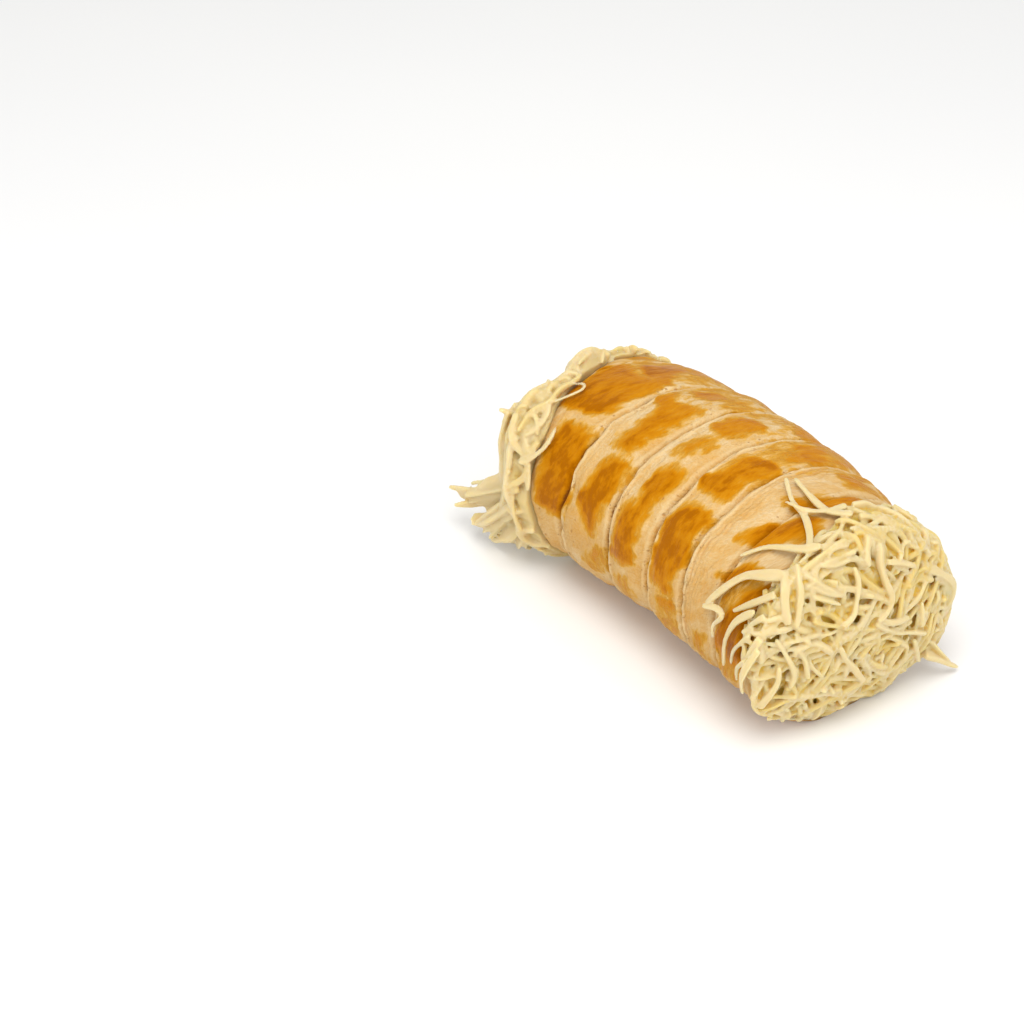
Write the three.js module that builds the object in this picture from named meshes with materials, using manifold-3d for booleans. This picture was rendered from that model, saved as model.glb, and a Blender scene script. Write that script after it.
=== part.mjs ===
// A baked puff-pastry roll filled with grated cheese. One strip of dough is wound into a tube, each
// turn laid over the edge of the turn before it, and the cheese fills the tube from end to end and
// spills over both rims in loose shreds. Millimetres, +Z up. The roll lies along X on z = 0, with the
// fuller heap of cheese at +X. An angle round the roll is 0 at the top and grows towards -Y.
import * as THREE from "three";
import { mergeVertices } from "three/addons/utils/BufferGeometryUtils.js";
import Module from "manifold-3d";

const wasm = await Module();
wasm.setup();

const { PI, abs, atan2, cos, exp, hypot, max, min, sin, sqrt } = Math;
const TURN = 2 * PI;
const rad = THREE.MathUtils.degToRad;
const { lerp, smoothstep } = THREE.MathUtils;

// ---- driving dimensions ----
const ROLL_WIDTH = 58; // across the fullest turn
const HEIGHT_SHARE = 0.876; // the section is a little lower than it is wide
const BASE_CUT = 1.6; // how far the flat underside cuts into the round section
const SHAPE_SPAN = 56; // distance from the middle at which the three shares below are reached
const TAPER = 0.031; // share of the width lost towards +X
const BARREL = 0.081; // share of the width lost towards both ends
const BOW = 6.3; // the ends curve towards -Y
const NEAR_RIM = 42; // the +X rim, square to the roll
const FAR_RIM = -41.5; // the middle of the -X rim
const FAR_RIM_RUNOUT = 6; // how far that rim slants either way
const FAR_RIM_LONGEST = rad(-60); // the angle at which it reaches furthest
const WALL = 6; // thickness of the baked dough
const GAP = 0.3; // between the cheese and the dough
const TABLE_GAP = 0.2; // the crust carries the roll, and the cheese stays this clear of the table

// ---- winding of the strip ----
const TURN_AT_MIDDLE = 1.575; // turns counted from the first seam of the tube
const TURNS_PER_MM = 0.0765;
const TIGHTENING = 0.00033; // the turns get narrower towards +X
const SEAM_SAG = 2.3; // the seams sag towards +X low on the -Y side
const SAG_ANGLE = rad(102);
const SAG_SPREAD = rad(26);
const EDGE_FALL = 1.35; // how far a turn rounds down to its edges
const OVERLAP_STEP = 0.6; // an edge that lies over the last turn stands higher by this
const CREVICE_DEPTH = 1.2;
const UNEVENNESS = 0.45;
const UNDERSIDE_PRESS = 0.6; // share of the relief that the tray has pressed out of the underside
const RIM_ROUND = 3.2; // length over which a rim rounds off
const RIM_FALL = 1.5;
const STATIONS = [0, 0.04, 0.16, 0.38, 0.62, 0.84, 0.96]; // across one turn, from seam to seam
const ROLL_COLUMNS = 38;
const BORE_COLUMNS = 32;

// ---- cheese ----
const SHRED_RADIUS = 0.85;
const SHRED_SIDES = 4;
const SHRED_STEPS = 5;
const HEAP_COLUMNS = 24;
const FACE_RADIUS = 26; // of a heap's face, measured over its surface from the middle
const FACE_SHARES = [0.12, 0.4, 0.65, 0.85, 1]; // rings of the face
const RIM_CORNER = 1.1; // share of that radius at which a heap turns back over the rim
const RIM_SOFTNESS = 0.06; // how roundly it turns
const HEM_THINNING = 0.75; // a skirt gets thinner towards its hem by this share
// A heap's thickness over the rim, how far its edge stands out past the rim and how far its skirt
// reaches back over the crust change round the roll, each as a short list of [degrees, millimetres].
const NEAR_HEAP = {
  end: 1,
  dome: 6.5, // how far the middle stands out of the rim
  count: 31,
  seed: 11,
  over: [[-175, -2.5], [-145, 0.5], [-112, 3.4], [-75, 2.4], [-40, 0.9], [0, 0.9], [45, 2], [80, 1.7],
    [110, 0], [145, -2]],
  edge: [[-175, 0], [-110, 2.5], [-60, 1.2], [0, 1.2], [60, 2], [100, 1.2], [145, 0]],
  skirt: [[-150, 0], [-110, 2], [-70, 5], [-33, 7.5], [-10, 7.5], [18, 4], [45, 3.5], [67, 4], [90, 0],
    [120, -2]],
};
const FAR_HEAP = {
  end: -1,
  dome: 8,
  count: 15,
  seed: 29,
  over: [[-165, -1], [-100, 0], [-40, 0], [-12, 0.6], [8, 3.2], [22, 1.8], [38, 3], [55, 4.4], [75, 2.2],
    [110, 1.6], [140, 0.8], [165, 0]],
  edge: [[-165, 0.5], [-60, 0.8], [0, 1.6], [26, 2.2], [45, 4.8], [58, 5.5], [90, 4.6], [115, 4],
    [140, 2.5], [165, 1]],
  skirt: [[-150, 0], [-60, 0], [-15, 0.3], [10, 1], [30, 1.2], [52, 2.2], [68, 0.6], [90, 0], [140, 0]],
};

// ---- a small random generator, so that each build is the same ----
function randomFrom(seed) {
  let state = seed >>> 0;
  return () => {
    state = (state + 0x6d2b79f5) >>> 0;
    let t = state;
    t = Math.imul(t ^ (t >>> 15), t | 1);
    t ^= t + Math.imul(t ^ (t >>> 7), t | 61);
    return ((t ^ (t >>> 14)) >>> 0) / 2 ** 32;
  };
}

// ---- the smooth body ----
function halfWidth(x) {
  const u = x / SHAPE_SPAN;
  return (ROLL_WIDTH / 2) * (1 - TAPER * u - BARREL * u ** 2 - (BARREL / 2) * u ** 4);
}
const halfHeight = (x) => halfWidth(x) * HEIGHT_SHARE;
const centreY = (x) => -BOW * (x / SHAPE_SPAN) ** 2;
const centreZ = (x) => halfHeight(x) - BASE_CUT;

// A point at a distance out of the smooth body, or in it where out is negative.
function bodyPoint(x, angle, out = 0) {
  return new THREE.Vector3(
    x,
    centreY(x) - (halfWidth(x) + out) * sin(angle),
    centreZ(x) + (halfHeight(x) + out) * cos(angle),
  );
}

const rimAt = (end, angle) =>
  end > 0 ? NEAR_RIM : FAR_RIM - FAR_RIM_RUNOUT * cos(angle - FAR_RIM_LONGEST);

// ---- relief of the wound strip ----
function seamShift(angle) {
  return SEAM_SAG * exp(-(((angle - SAG_ANGLE) / SAG_SPREAD) ** 2));
}

// Where along the roll a number of turns is reached at an angle: the seams are the whole numbers.
function alongForTurns(turns, angle) {
  const wanted = turns - angle / TURN - TURN_AT_MIDDLE;
  const root = sqrt(max(TURNS_PER_MM ** 2 + 4 * TIGHTENING * wanted, 0));
  return (root - TURNS_PER_MM) / (2 * TIGHTENING) + seamShift(angle);
}

function uneven(x, angle) {
  const waves = sin(0.21 * x + 2 * angle) + sin(3 * angle - 0.13 * x + 1) + sin(5 * angle + 0.37 * x + 2);
  return UNEVENNESS * (waves / 6 - 0.5);
}

function reliefAt(x, angle, turns) {
  const across = turns - Math.floor(turns);
  const crown = EDGE_FALL * abs(2 * across - 1) ** 3;
  const lean = OVERLAP_STEP * (across - 0.5);
  const crevice = across === 0 ? CREVICE_DEPTH : 0;
  const toRim = min(NEAR_RIM - x, x - rimAt(-1, angle));
  const rounding = RIM_FALL * max(1 - max(toRim, 0) / RIM_ROUND, 0) ** 2;
  const pressed = 1 - UNDERSIDE_PRESS * smoothstep(-cos(angle), 0.8, 0.97);
  return pressed * (uneven(x, angle) - crown - lean - OVERLAP_STEP / 2 - crevice - rounding);
}

// ---- meshes and solids ----
function geometryOf(points, triangles) {
  const geometry = new THREE.BufferGeometry().setFromPoints(points);
  geometry.setIndex(triangles);
  return geometry;
}

function solidOf(geometry) {
  const bare = new THREE.BufferGeometry();
  bare.setAttribute("position", geometry.getAttribute("position"));
  bare.setIndex(geometry.getIndex());
  const merged = mergeVertices(bare, 1e-4);
  return new wasm.Manifold(
    new wasm.Mesh({
      numProp: 3,
      vertProperties: Float32Array.from(merged.attributes.position.array),
      triVerts: Uint32Array.from(merged.index.array),
    }),
  );
}

function geometryFromSolid(solid) {
  const mesh = solid.getMesh();
  const geometry = new THREE.BufferGeometry();
  geometry.setAttribute("position", new THREE.BufferAttribute(mesh.vertProperties, 3));
  geometry.setIndex(new THREE.BufferAttribute(mesh.triVerts, 1));
  return geometry;
}

// A closed skin over rings of equally many points, each end closed round its own middle. Each ring
// runs clockwise seen along the way from the first ring to the last.
function loftRings(rings) {
  const columns = rings[0].length;
  const points = rings.flat();
  const triangles = [];
  for (let row = 0; row + 1 < rings.length; row++)
    for (let i = 0; i < columns; i++) {
      const next = (i + 1) % columns;
      const [a, b] = [row * columns + i, row * columns + next];
      const [c, d] = [a + columns, b + columns];
      triangles.push(a, b, d, a, d, c);
    }
  for (const [row, turned] of [[0, true], [rings.length - 1, false]]) {
    const middle = new THREE.Vector3();
    rings[row].forEach((p) => middle.addScaledVector(p, 1 / columns));
    const tip = points.push(middle) - 1;
    for (let i = 0; i < columns; i++) {
      const [a, b] = [row * columns + i, row * columns + ((i + 1) % columns)];
      triangles.push(...(turned ? [b, a, tip] : [a, b, tip]));
    }
  }
  return geometryOf(points, triangles);
}

// A smooth tube round the roll's own line, at a distance out of the body.
function bodyTube(from, to, out, columns, rows) {
  const rings = [];
  for (let row = 0; row <= rows; row++) {
    const x = lerp(from, to, row / rows);
    rings.push(Array.from({ length: columns }, (_, i) => bodyPoint(x, (TURN * i) / columns, out)));
  }
  return solidOf(loftRings(rings));
}

// A block that keeps what lies between the two rims, both moved out by a margin.
function betweenRims(margin) {
  const far = (y, z) => {
    const across = (y - centreY(FAR_RIM)) / halfWidth(FAR_RIM);
    const above = (z - centreZ(FAR_RIM)) / halfHeight(FAR_RIM);
    const share = above * cos(FAR_RIM_LONGEST) - across * sin(FAR_RIM_LONGEST);
    return FAR_RIM - FAR_RIM_RUNOUT * share - margin;
  };
  const side = ROLL_WIDTH;
  const corners = [[-side, -side], [-side, side], [side, side], [side, -side]];
  return solidOf(
    loftRings([
      corners.map(([y, z]) => new THREE.Vector3(far(y, z), y, z)).reverse(),
      corners.map(([y, z]) => new THREE.Vector3(NEAR_RIM + margin, y, z)).reverse(),
    ]),
  );
}

// ---- the pastry ----
// The skin of the wound strip. Its rows run along the turns, so after once round the roll a row
// meets the one that lies a turn further on.
function woundSkin() {
  const firstTurn = -2;
  const turnCount = 9;
  const perTurn = STATIONS.length;
  const rows = turnCount * perTurn;
  const points = [];
  for (let i = 0; i < ROLL_COLUMNS; i++) {
    const angle = -PI + (TURN * i) / ROLL_COLUMNS;
    for (let row = 0; row <= rows; row++) {
      const turns = firstTurn + Math.floor(row / perTurn) + STATIONS[row % perTurn];
      const x = alongForTurns(turns, angle);
      const point = bodyPoint(x, angle, reliefAt(x, angle, turns));
      point.z = max(point.z, 0);
      points.push(point);
    }
  }
  const at = (column, row) =>
    column < ROLL_COLUMNS ? column * (rows + 1) + row : row - perTurn;
  const triangles = [];
  for (let i = 0; i < ROLL_COLUMNS; i++)
    for (let row = i + 1 < ROLL_COLUMNS ? 0 : perTurn; row < rows; row++) {
      const [a, b, c, d] = [at(i, row), at(i, row + 1), at(i + 1, row + 1), at(i + 1, row)];
      triangles.push(a, c, b, a, d, c);
    }
  const last = ROLL_COLUMNS - 1;
  const span = (count, pick) => Array.from({ length: count }, (_, k) => pick(k));
  const start = [...span(last, (k) => at(k, 0)), ...span(perTurn + 1, (k) => at(last, k))];
  const finish = [...span(perTurn, (k) => at(0, rows - perTurn + k)), ...span(last + 1, (k) => at(k, rows))];
  for (const [loop, way] of [[start, -1], [finish, 1]]) {
    const reach = way * max(...loop.map((k) => way * points[k].x)) + way;
    const tip = points.push(new THREE.Vector3(reach, centreY(reach), centreZ(reach))) - 1;
    loop.forEach((k, i) => {
      const next = loop[(i + 1) % loop.length];
      triangles.push(...(way < 0 ? [next, k, tip] : [k, next, tip]));
    });
  }
  return solidOf(geometryOf(points, triangles));
}

function pastrySolid() {
  const bore = bodyTube(-58, 58, -WALL, BORE_COLUMNS, 8);
  return woundSkin().intersect(betweenRims(0)).subtract(bore);
}

// ---- the heaps of cheese ----
// The value at an angle of a short list of [degrees, value], taken round the circle.
function roundList(list, angle) {
  const degrees = THREE.MathUtils.euclideanModulo(THREE.MathUtils.radToDeg(angle) + 180, 360) - 180;
  const before = list.findLastIndex(([d]) => d <= degrees);
  const [d0, v0] = before < 0 ? [list.at(-1)[0] - 360, list.at(-1)[1]] : list[before];
  const [d1, v1] = before + 1 < list.length ? list[before + 1] : [list[0][0] + 360, list[0][1]];
  return lerp(v0, v1, smoothstep(degrees, d0, d1));
}

const softly = (share) => RIM_SOFTNESS * Math.log1p(exp(share / RIM_SOFTNESS));

// A point on a heap. The distance runs over its surface from the middle of the face, round the rim
// and back along the crust, and lift is the height over it.
function heapPoint(heap, angle, distance, lift = 0) {
  const share = distance / FACE_RADIUS;
  const spread = share - softly(share - 1);
  const back = FACE_RADIUS * softly(share - RIM_CORNER);
  const onFace = 1 - smoothstep(share, 0.75, 1.15);
  const rim = rimAt(heap.end, angle);
  const bulge = min(share, 1) ** 2.2;
  const edge = roundList(heap.edge, angle);
  const out = lerp(heap.dome, edge, bulge) + lift * onFace - back;
  const x = lerp(heap.end * NEAR_RIM, rim, smoothstep(share, 0.2, 1)) + heap.end * out;
  const toHem = min(back / max(edge + roundList(heap.skirt, angle), 1), 1);
  const over = roundList(heap.over, angle) * (1 - HEM_THINNING * toHem ** 2) + GAP + lift * (1 - onFace);
  const inner = heap.end * min(heap.end * x, heap.end * rim);
  const point = new THREE.Vector3(
    x,
    centreY(x) - (halfWidth(inner) + over) * spread * sin(angle),
    centreZ(inner) + (halfHeight(inner) + over) * spread * cos(angle),
  );
  point.z = max(point.z, SHRED_RADIUS);
  return point;
}

// The solid under a heap's shreds: its face, its turn over the rim and its skirt down to the hem, from
// where it runs back into the dough's thickness.
function heapCore(heap) {
  const corner = FACE_RADIUS * RIM_CORNER;
  const hem = (angle) => corner + 1 + max(roundList(heap.edge, angle) + roundList(heap.skirt, angle), 0);
  const places = [
    ...FACE_SHARES.map((share) => (angle) => heapPoint(heap, angle, share * FACE_RADIUS)),
    (angle) => heapPoint(heap, angle, corner),
    (angle) => heapPoint(heap, angle, hem(angle)),
    (angle) => bodyPoint(rimAt(heap.end, angle) - heap.end * 2, angle, -WALL / 2),
  ];
  const angles = Array.from({ length: HEAP_COLUMNS }, (_, i) => (-heap.end * TURN * i) / HEAP_COLUMNS);
  return solidOf(loftRings(places.map((place) => angles.map(place))));
}

// A shred along a curve: a few flat sides, thinner at its ends.
function shredSolid(curve, radius) {
  const frames = curve.computeFrenetFrames(SHRED_STEPS, false);
  const rings = [];
  for (let step = 0; step <= SHRED_STEPS; step++) {
    const middle = curve.getPointAt(step / SHRED_STEPS);
    const size = radius * (step === 0 || step === SHRED_STEPS ? 0.55 : 1);
    rings.push(
      Array.from({ length: SHRED_SIDES }, (_, i) => {
        const turn = (TURN * i) / SHRED_SIDES;
        return middle
          .clone()
          .addScaledVector(frames.normals[step], size * cos(turn))
          .addScaledVector(frames.binormals[step], size * sin(turn));
      }),
    );
  }
  return solidOf(loftRings(rings));
}

// Shreds strewn over a heap, spread evenly by the golden angle, each on a curved way of its own.
function strewnShreds(heap) {
  const random = randomFrom(heap.seed);
  const shreds = [];
  for (let k = 0; k < heap.count; k++) {
    const radius = FACE_RADIUS * 1.12 * sqrt((k + 0.5) / heap.count);
    const place = 2.39996 * k;
    const heading = TURN * random();
    const length = lerp(14, 26, random());
    const curl = lerp(-0.05, 0.05, random());
    const lift = lerp(0, 0.8, random());
    const points = [-0.5, -0.2, 0.1, 0.35, 0.5].map((share) => {
      const along = share * length;
      const aside = curl * along ** 2 + sin(along * 0.5 + place) * 0.8;
      const a = radius * sin(place) + along * cos(heading) - aside * sin(heading);
      const b = radius * cos(place) + along * sin(heading) + aside * cos(heading);
      return heapPoint(heap, atan2(a, b), hypot(a, b), lift + abs(share) * 0.8);
    });
    shreds.push(shredSolid(new THREE.CatmullRomCurve3(points), SHRED_RADIUS * lerp(0.9, 1.25, random())));
  }
  return shreds;
}

// Shreds that lie over the crust or hang from a heap: radius, then the way as [x, degrees, height].
const DRAPED = [
  [1.1, [26, 74, 1], [31, 60, 1.6], [35.5, 49, 2.2], [41, 38, 3]],
  [0.8, [27, 48, 1], [30.5, 41, 1], [34, 35, 1.4], [41, 26, 2.5]],
  [0.75, [31, 83, 1.2], [32.5, 75, 1.6], [32, 70, 1.4], [29.6, 71, 1.2], [27, 74, 1]],
  [0.75, [31.8, 84, 1], [34.4, 72, 1.4], [37, 62, 1.8], [42, 54, 2.5]],
  [0.9, [36.8, 93, 1], [37, 81, 1.2], [37.6, 70, 1.6], [41, 58, 2.4]],
  [0.75, [19, 2, 1], [24, 4, 1], [28.2, 4, 1.2], [34, -2, 2.4]],
  [0.75, [21.4, 9, 1], [27.6, 8, 1.1], [32.2, 10, 1.5], [39, 18, 3]],
  [0.8, [40, 105, 1.2], [42, 91, 2.5], [44, 80, 3.5], [46, 68, 4]],
  [0.75, [-38.8, 42, 1.2], [-37.5, 32, 1.2], [-35.9, 24, 1.2], [-38, 20, 1.4], [-42, 24, 2]],
  [0.75, [-34.2, 49, 1.1], [-34.2, 60, 1.2], [-37, 68, 2.4], [-42, 72, 4]],
  [0.8, [-33.4, 84, 1.1], [-35.4, 72, 1.6], [-39, 62, 2.8], [-44, 50, 4]],
];

// Shreds that stand out from the heaps: a lobe at the side of the +X heap, one of its shreds whose tip
// comes down to the table, the top of a loop that leans out of the -X heap, and a lobe on its crown.
const LOOSE = [
  [1.3, [45, 15, 32], [46, 20, 28.5], [46, 23, 23.5], [45.5, 21.5, 16]],
  [1.1, [46, 17, 9], [46.3, 21, 6], [46.6, 24, 3.5], [46.8, 27, 1.4]],
  [1.2, [-46, -22, 34], [-46.5, -27, 39.5], [-47, -30.6, 41.6]],
  [1.2, [-45, -13, 43.5], [-46, -10, 47.6], [-46.3, -6, 49], [-46, -2.5, 47.2], [-45, -1, 44.5]],
];

// The loose bundle that sticks out low at the -X end, and what hangs to the table under it.
const BUNDLE = [
  [1.6, [-44, -20, 17], [-52, -24, 14.5], [-60, -28.5, 12], [-66, -32, 11]],
  [1.2, [-44, -17, 12], [-52, -23, 11], [-58, -29, 9.5], [-62, -33.5, 8.5]],
  [1.0, [-43, -26, 20], [-47, -29.5, 14], [-52, -30, 8.5], [-56, -31, 5]],
  [1.0, [-42, -25, 15], [-45, -28, 9], [-49, -28.5, 4], [-53, -28.5, 1.4]],
  [0.9, [-40, -25, 12], [-42, -26.5, 6], [-44.5, -24.5, 2.5], [-46, -22.5, 1.1]],
];

function cheeseSolid() {
  const core = bodyTube(-58, 58, -WALL - GAP, BORE_COLUMNS, 8);
  const filling = core.intersect(betweenRims(2));
  const draped = DRAPED.map(([radius, ...way]) => {
    const points = way.map(([x, degrees, height]) => bodyPoint(x, rad(degrees), GAP + height));
    return shredSolid(new THREE.CatmullRomCurve3(points), radius);
  });
  const loose = [...BUNDLE, ...LOOSE].map(([radius, ...way]) => {
    const points = way.map((place) => new THREE.Vector3(...place));
    return shredSolid(new THREE.CatmullRomCurve3(points), radius);
  });
  const heaps = [NEAR_HEAP, FAR_HEAP].flatMap((heap) => [heapCore(heap), ...strewnShreds(heap)]);
  const crust = bodyTube(-58, 58, GAP, BORE_COLUMNS, 8)
    .subtract(core)
    .intersect(betweenRims(GAP));
  const underside = new THREE.BoxGeometry(4 * ROLL_WIDTH, 4 * ROLL_WIDTH, ROLL_WIDTH);
  const table = solidOf(underside.translate(0, 0, TABLE_GAP - ROLL_WIDTH / 2));
  const whole = wasm.Manifold.union([filling, ...heaps, ...draped, ...loose]).subtract(crust.add(table));
  return whole.decompose().reduce((best, body) => (body.volume() > best.volume() ? body : best));
}

// ---- the part ----
function named(name, solid, colour, roughness) {
  const material = new THREE.MeshStandardMaterial({ color: colour, roughness, metalness: 0 });
  const mesh = new THREE.Mesh(geometryFromSolid(solid), material);
  mesh.name = name;
  return mesh;
}

const roll = new THREE.Group();
roll.add(named("pastry", pastrySolid(), 0xd9953b, 0.45));
roll.add(named("cheese", cheeseSolid(), 0xf2dfa0, 0.4));

export default roll;
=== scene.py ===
"""A wound puff-pastry roll with a grated-cheese filling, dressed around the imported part.

The crust is one dense skin with the real winding of the strip: rounded turns, open seams with
layered edges, raised patches of egg wash and dry pitted dough between them. The cheese is some
hundreds of single shreds, laid down one by one so that each rests on those under it, over a core
that runs through the tube. Lengths are in millimetres until a mesh is made. An angle round the
roll is 0 at the top and grows towards -Y, as in the part.
"""
import math

import bmesh
import bpy
import numpy as np
from mathutils import Matrix, Vector
from mathutils.kdtree import KDTree


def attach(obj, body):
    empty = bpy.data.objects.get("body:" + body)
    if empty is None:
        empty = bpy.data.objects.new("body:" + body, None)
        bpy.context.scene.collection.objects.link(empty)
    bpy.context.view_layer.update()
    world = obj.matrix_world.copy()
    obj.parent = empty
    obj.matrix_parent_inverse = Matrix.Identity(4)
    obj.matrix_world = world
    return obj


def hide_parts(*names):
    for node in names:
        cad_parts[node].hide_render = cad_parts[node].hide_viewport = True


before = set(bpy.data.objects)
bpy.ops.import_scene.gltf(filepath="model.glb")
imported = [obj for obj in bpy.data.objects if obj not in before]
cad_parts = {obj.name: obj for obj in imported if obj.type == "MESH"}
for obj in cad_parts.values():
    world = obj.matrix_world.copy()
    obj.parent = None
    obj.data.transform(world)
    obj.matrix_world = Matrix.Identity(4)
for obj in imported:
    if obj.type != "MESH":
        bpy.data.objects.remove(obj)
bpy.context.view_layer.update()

MM = 0.001
TURN = 2 * math.pi

# ---- the roll, as in the part ----
ROLL_WIDTH = 58.0
HEIGHT_SHARE = 0.876
BASE_CUT = 1.6
SHAPE_SPAN = 56.0
TAPER = 0.031
BARREL = 0.081
BOW = 6.3
NEAR_RIM = 42.0
FAR_RIM = -41.5
FAR_RIM_RUNOUT = 6.0
FAR_RIM_LONGEST = math.radians(-60)
WALL = 6.0
GAP = 0.3
TURN_AT_MIDDLE = 1.575
TURNS_PER_MM = 0.0765
TIGHTENING = 0.00033
SEAM_SAG = 2.3
SAG_ANGLE = math.radians(102)
SAG_SPREAD = math.radians(26)
EDGE_FALL = 1.35
OVERLAP_STEP = 0.6
RIM_ROUND = 3.2
RIM_FALL = 1.5
UNDERSIDE_PRESS = 0.6
CRUST_ROWS = 326
CRUST_COLUMNS = 288
RIM_INSETS = (0.35, 0.7, 1.0)

# ---- the crust's relief and its egg wash ----
RIDGE_HEIGHT = 0.38
CRACK_DEPTH = 1.1
SECOND_EDGE_DEPTH = 0.4
LAYER_DEPTH = 0.24
WASH_DEPTH = 0.22
SKIN_DROP = 0.25
HIGHEST_RELIEF = 0.4
PATCH_ROUND = 2.6
THIN_WASH = 0.42

# ---- the camera, at the photograph's viewing angle ----
CAMERA_PLACE = (333.7, -298.2, 326.9)
CAMERA_AZIMUTH = math.radians(54.56)
CAMERA_ELEVATION = math.radians(33.95)
FOCAL_PIXELS = 2400
FRAME_PIXELS = 1024
SENSOR = 36.0

# ---- the set: each lamp's name, azimuth, elevation, width, power and colour ----
LAMPS = [
    ("key", 48, 66, 420, 2.7, (1, 0.985, 0.96)),
    ("fill", 88, 34, 520, 1.12, (1, 1, 1)),
    ("side", 2, 28, 560, 0.85, (1, 1, 1)),
]
LAMP_DISTANCE = 700.0
LAMP_AIM = (0, 0, 20)
WORLD_LIGHT = 0.76
FLOOR_REACH = 3000.0

# ---- egg wash: turn, then the angle in degrees and the shares of the turn's width at both ends ----
WASHED = [
    (-1, (40, 0.4, 1.02), (91, 0.58, 1.08)), (-1, (-2, -0.06, 0.92), (33, 0.06, 0.78)),
    (-1, (-30, 0.05, 0.5), (0, 0.4, 0.9)),
    (0, (43, 0.44, 0.92), (89, 0.42, 0.74)), (0, (1, 0.46, 0.84), (42, 0.24, 0.66)),
    (0, (-1, 0.08, 0.28), (11, 0.12, 0.34)), (0, (-20, 0.24, 0.6), (-5, 0.22, 0.5)),
    (0, (94, 0.66, 1.04), (113, 0.44, 0.9)),
    (1, (33, 0.42, 0.78), (92, 0.14, 0.6)), (1, (12, 0.34, 0.64), (30, 0.22, 0.46)),
    (1, (-14, 0.3, 0.78), (9, 0.22, 0.66)), (1, (101, 0.22, 0.62), (125, 0.2, 0.62)),
    (2, (42, 0.2, 1.0), (90, 0.04, 0.7)), (2, (3, 0.22, 0.98), (34, 0.12, 0.82)),
    (2, (-47, 0.5, 1.0), (-14, 0.16, 0.92)), (2, (94, 0.36, 0.95), (128, 0.2, 0.72)),
    (3, (96, 0.4, 0.75), (118, 0.35, 0.7)), (3, (-48, 0.5, 0.95), (-22, 0.35, 0.85)),
    (4, (9, 0.3, 1.0), (42, -0.34, 0.16)), (4, (45, 0.42, 0.78), (62, -0.16, 0.12)),
    (4, (47, 0.94, 1.24), (69, 0.3, 0.62)), (4, (64, 0.3, 1.6), (114, -0.06, 0.8)),
    (4, (-20, 0.0, 0.5), (4, -0.2, 0.3)), (4, (4, -0.1, 0.35), (14, -0.34, 0.1)),
]

# ---- cheese ----
FACE_RADIUS = 26.0
RIM_CORNER = 1.1
RIM_SOFTNESS = 0.06
HEM_THINNING = 0.75
CORE_COLUMNS = 150
FILLING_COLUMNS = 96
# The deeper tint of the cheese inside the tube is painted shade.
FILLING_SHADE = 0.9
SHRED_SIDES = 8
SHRED_SAMPLES = 18
SHRED_LENGTHS = (7, 17, 36)
SHORT_LENGTHS = (4, 10)
SHORT_RADII = (0.45, 0.75)
TRIES = 5
FREE_TINT = 0.08
# How much deeper a shred's tint grows for each millimetre it lies down in a heap: painted shade.
SHADE_PER_DEPTH = 0.08
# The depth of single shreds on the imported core, and of a hollow that takes one more.
LOOSE_DEPTH = 1.1
HOLLOW_DEPTH = 0.5
# Rounds of smoothing against which hollows are measured for their painted shade, and the deepest
# counted.
HOLLOW_ROUNDS = 20
DEEPEST_HOLLOW = 0.6
# How much lower than listed the shreds over the crust lie, to rest on its ridges.
SUNK_IN = 0.45
CRUMB_POINTS = 200
MAP_CELL = 0.5
MAP_REACH = 50.0
MOST_TRIANGLES = 190000

# Shreds that lie over the crust: radius, then the way as (x, degrees, height over the crust).
DRAPED = [
    (1, (25.8, 74, 1), (29.8, 59, 1.5), (32.8, 50, 2), (37, 44, 3), (41, 38, 3.4)),
    (0.75, (27.8, 46, 1), (31.2, 36, 1.1), (34.8, 30, 1.5), (39.2, 24, 2.4), (41.5, 18, 3)),
    (0.65, (30, 87, 1), (29.5, 81, 1.1), (31.5, 73, 1.3), (29.2, 72, 1.1), (25.2, 76, 1)),
    (0.8, (33.5, 67, 1), (38, 56, 1.7), (42, 46, 3)),
    (0.7, (33.8, 98, 1), (34.2, 82, 1.3), (36, 69, 1.8), (40, 58, 2.8)),
    (0.65, (39.3, 76, 1.2), (39.8, 66, 1.9), (43, 56, 3.2)),
    (0.7, (41, 86, 1.4), (43, 76, 2.8), (45, 64, 3.6)),
    (0.75, (40, 105, 1.2), (42, 91, 2.5), (44, 80, 3.5), (46, 68, 4)),
    (0.55, (36.5, 92, 1), (37, 84, 1.2), (39, 76, 1.8), (41.5, 68, 2.8)),
    (0.55, (38.5, 99, 1.1), (39, 91, 1.4), (41, 84, 2.4), (43, 79, 3.2)),
    (0.7, (20.2, 6, 1), (26.5, 12, 1), (31.5, 13, 1.2), (36.2, 17, 1.8), (40, 22, 3)),
    (0.8, (21.5, 3, 1), (28.8, 4, 1), (33.8, 3, 1.4), (38, -4, 2.6)),
    (0.6, (26, 15, 1.4), (31.2, 11, 1.8), (33.5, 4, 1.5), (35, -5, 2.2)),
    (0.55, (-40.5, 24, 1), (-37.8, 22, 1.1), (-36.6, 25, 1.2), (-38.2, 32, 1.3), (-40, 38, 1.8),
     (-43, 44, 2.6)),
    (0.9, (-45.5, 28, 2.5), (-41.5, 36, 1.8), (-38.8, 44, 1.6), (-38.6, 51, 1.8), (-40.5, 57, 2.6)),
    (0.7, (-34.5, 47, 1), (-34, 57, 1.1), (-36, 66, 1.7), (-38.5, 70, 2.4)),
    (0.9, (-34.8, 83, 1), (-36.4, 69, 1.4), (-40.5, 57, 2.4), (-45, 46, 3.5)),
]

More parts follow.
